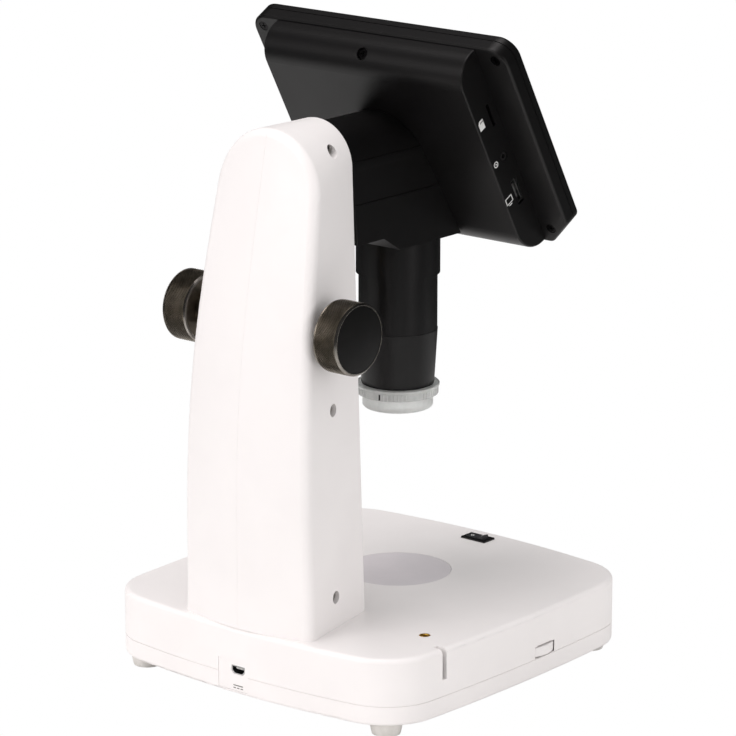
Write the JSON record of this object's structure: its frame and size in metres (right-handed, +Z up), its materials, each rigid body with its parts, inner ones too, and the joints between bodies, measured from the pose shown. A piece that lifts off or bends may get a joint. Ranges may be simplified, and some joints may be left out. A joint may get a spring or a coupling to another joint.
{
  "type": "lcd digital microscope",
  "caption": "Desktop digital microscope: pillow-shaped base with lit stage, leaning column, rack-driven arm with lens barrel and tilted flat display on a humped rear housing.",
  "frame": {"origin": "centre of the base on the table, at the bottom of the feet", "axes": "+Z up along the column, -Y to the user who faces the display, +X to that user's right"},
  "size_m": [0.179, 0.184, 0.2956],
  "materials": {
    "white_abs": "fine satin",
    "black_abs": "fine satin",
    "black_anodised": "black anodised, knurled rim",
    "knob_face": "satin disc",
    "bright_steel": "ground",
    "screw_steel": "zinc plated",
    "black_screw": "black oxide",
    "brass": "turned",
    "cast_alloy": "machined",
    "clear_acrylic": "clear, polished",
    "frosted_acrylic": "frosted",
    "lens_glass": "polished",
    "cover_glass": "polished",
    "display_panel": "dark when off",
    "circuit_board": "solder mask",
    "led_lens": "cast epoxy",
    "battery_wrap": "shrink wrap",
    "soft_rubber": "moulded",
    "black_nylon": "moulded",
    "grey_key": "moulded"
  },
  "bodies": {
    "stand": {"base_top_shell": "white_abs", "base_bottom_tray": "white_abs", "rubber_feet": "soft_rubber", "tray_screws": "screw_steel", "stage_diffuser": "frosted_acrylic", "stage_light_board": "circuit_board", "stage_leds": "led_lens", "base_circuit_board": "circuit_board", "battery_pack": "battery_wrap", "power_switch_frame": "black_nylon", "accessory_socket": "brass", "port_plate": "white_abs", "usb_power_socket": "bright_steel", "column_left_half": "white_abs", "column_right_half": "white_abs", "column_screws": "screw_steel", "column_foot_screws": "screw_steel", "guide_rods": "bright_steel", "guide_rod_top_bracket": "cast_alloy", "guide_rod_bottom_bracket": "cast_alloy", "shaft_bushings": "black_nylon"},
    "head": {"focus_rack": "brass", "focus_carriage": "cast_alloy", "carriage_screws": "screw_steel", "arm_top_cover": "black_abs", "arm_middle_shell": "black_abs", "arm_lower_shell": "black_abs", "arm_screws": "screw_steel", "barrel_collar": "black_abs", "barrel_body": "black_abs", "barrel_nose": "black_abs", "lens_cell": "black_anodised", "objective_lens": "lens_glass", "led_ring_board": "circuit_board", "nose_leds": "led_lens", "image_sensor_board": "circuit_board", "display_rear_shell": "black_abs", "display_front_bezel": "black_abs", "display_cover_glass": "cover_glass", "display_panel": "display_panel", "display_main_board": "circuit_board", "key_board": "circuit_board", "memory_card_socket": "bright_steel", "av_jack": "black_nylon", "video_port": "bright_steel", "display_housing_screws": "black_screw"},
    "focus_drive": {"focus_shaft": "bright_steel", "focus_pinion": "brass", "focus_knob_left": "black_anodised", "focus_knob_right": "black_anodised", "knob_face_discs": "knob_face"},
    "nose_cap": {"nose_ring": "clear_acrylic", "nose_cup": "clear_acrylic"},
    "rocker": {"power_rocker": "grey_key"},
    "dimmer": {"brightness_wheel": "white_abs"},
    "button_power_key": {"button_power": "grey_key"},
    "button_menu_key": {"button_menu": "grey_key"},
    "button_up_key": {"button_up": "grey_key"},
    "button_down_key": {"button_down": "grey_key"},
    "button_capture_key": {"button_capture": "grey_key"}
  },
  "joints": [
    {"name": "head_slide", "type": "slide", "parent": "stand", "child": "head", "axis": [0, 0, 1], "range_m": [-0.055, 0]},
    {"name": "focus_turn", "type": "hinge", "parent": "stand", "child": "focus_drive", "pos_m": [0, 0.0675, 0.1727], "axis": [1, 0, 0], "range_deg": [0, 243]},
    {"name": "rocker_tilt", "type": "hinge", "parent": "stand", "child": "rocker", "pos_m": [0, -0.08, 0.0344], "axis": [0, 1, 0], "range_deg": [-14, 0]},
    {"name": "dimmer_turn", "type": "hinge", "parent": "stand", "child": "dimmer", "pos_m": [-0.074, -0.016, 0.0184], "axis": [0, 0, 1], "range_deg": [0, 270]},
    {"name": "nose_turn", "type": "hinge", "parent": "head", "child": "nose_cap", "pos_m": [0, -0.02, 0.1225], "axis": [0, 0, 1], "range_deg": [-45, 45]},
    {"name": "button_power_press", "type": "slide", "parent": "head", "child": "button_power_key", "axis": [0, 0.8738, -0.4863], "range_m": [0, 0.0007], "stiffness_N_per_m": 600},
    {"name": "button_menu_press", "type": "slide", "parent": "head", "child": "button_menu_key", "axis": [0, 0.8738, -0.4863], "range_m": [0, 0.0007], "stiffness_N_per_m": 600},
    {"name": "button_up_press", "type": "slide", "parent": "head", "child": "button_up_key", "axis": [0, 0.8738, -0.4863], "range_m": [0, 0.0007], "stiffness_N_per_m": 600},
    {"name": "button_down_press", "type": "slide", "parent": "head", "child": "button_down_key", "axis": [0, 0.8738, -0.4863], "range_m": [0, 0.0007], "stiffness_N_per_m": 600},
    {"name": "button_capture_press", "type": "slide", "parent": "head", "child": "button_capture_key", "axis": [0, 0.8738, -0.4863], "range_m": [0, 0.0007], "stiffness_N_per_m": 600}
  ],
  "couplings": [
    {"joint": "focus_turn", "follows": "head_slide", "rad_per_m": -76.923}
  ]
}
